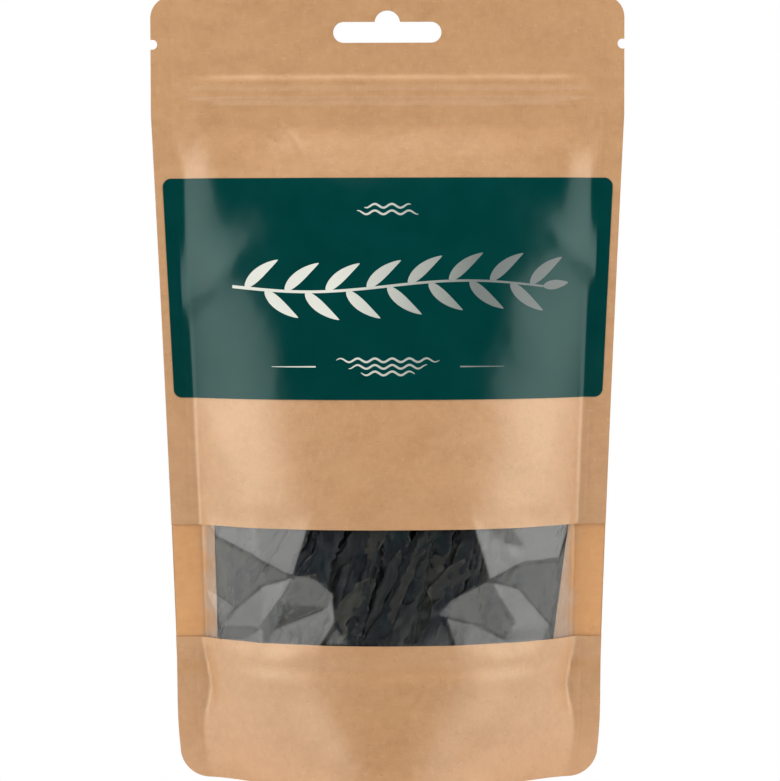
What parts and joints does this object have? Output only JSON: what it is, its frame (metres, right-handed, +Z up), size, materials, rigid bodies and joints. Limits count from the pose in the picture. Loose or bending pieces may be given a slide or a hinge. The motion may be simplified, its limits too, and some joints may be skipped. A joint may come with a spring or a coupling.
{
  "type": "pouch of dried winged kelp",
  "caption": "Stand-up kraft pouch with a clear band, a hang slot, a press-to-close zip and a plain label, filled with dried winged kelp fronds.",
  "frame": {"origin": "middle of the base, on the surface that the pouch stands on", "axes": "+Z up the pouch, front web towards -Y, +X to the right as seen from the front"},
  "size_m": [0.14, 0.0617, 0.232],
  "materials": {
    "kraft": "matte brown kraft paper with a faint sheen",
    "film": "clear glossy film",
    "label": "glossy dark teal sticker",
    "zip": "translucent white strip",
    "kelp": "leathery blue-black blade with grey-brown edges"
  },
  "bodies": {
    "root": {"back_web": "kraft", "bottom_gusset": "kraft", "front_film": "film", "front_kraft_lower": "kraft", "front_kraft_upper": "kraft", "front_label": "label", "zip_groove_strip": "zip", "zip_rib_strip": "zip", "kelp_frond_01": "kelp", "kelp_frond_02": "kelp", "kelp_frond_03": "kelp", "kelp_frond_04": "kelp", "kelp_frond_05": "kelp", "kelp_frond_06": "kelp", "kelp_frond_07": "kelp", "kelp_frond_08": "kelp", "kelp_frond_09": "kelp", "kelp_frond_10": "kelp", "kelp_frond_11": "kelp", "kelp_frond_12": "kelp", "kelp_frond_13": "kelp", "kelp_frond_14": "kelp", "kelp_frond_15": "kelp", "kelp_frond_16": "kelp"}
  },
  "joints": []
}
